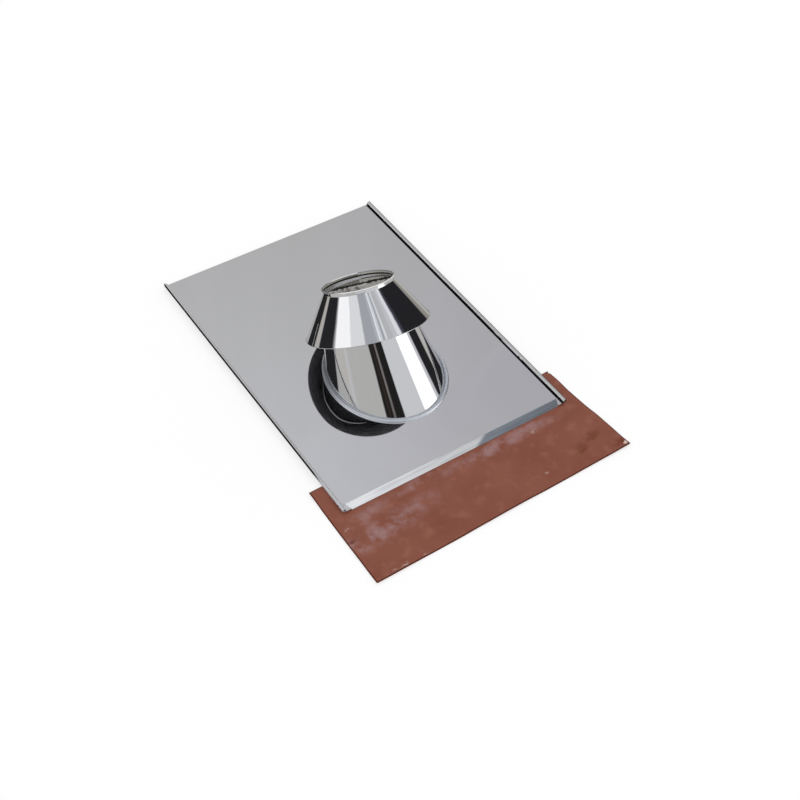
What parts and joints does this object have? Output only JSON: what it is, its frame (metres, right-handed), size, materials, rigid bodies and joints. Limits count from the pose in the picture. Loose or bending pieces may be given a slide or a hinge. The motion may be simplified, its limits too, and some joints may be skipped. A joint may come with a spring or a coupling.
{
  "type": "roof flashing",
  "caption": "Pitched-roof flue flashing: folded polished base plate, leaning cone with a rolled foot, loose storm collar and a painted soft-metal apron.",
  "frame": {"origin": "under the middle of the whole footprint, on the surface that the part lies on", "axes": "+X across the roof, +Y up the slope along the plate, +Z square to the plate, out of the roof"},
  "size_m": [0.5698, 0.8589, 0.1969],
  "materials": {
    "polished_steel": "mirror-polished stainless sheet",
    "painted_lead": "terracotta paint on soft lead sheet, slightly glossy"
  },
  "bodies": {
    "root": {"base_plate": "polished_steel", "flue_cone": "polished_steel", "storm_collar": "polished_steel", "apron": "painted_lead"}
  },
  "joints": []
}
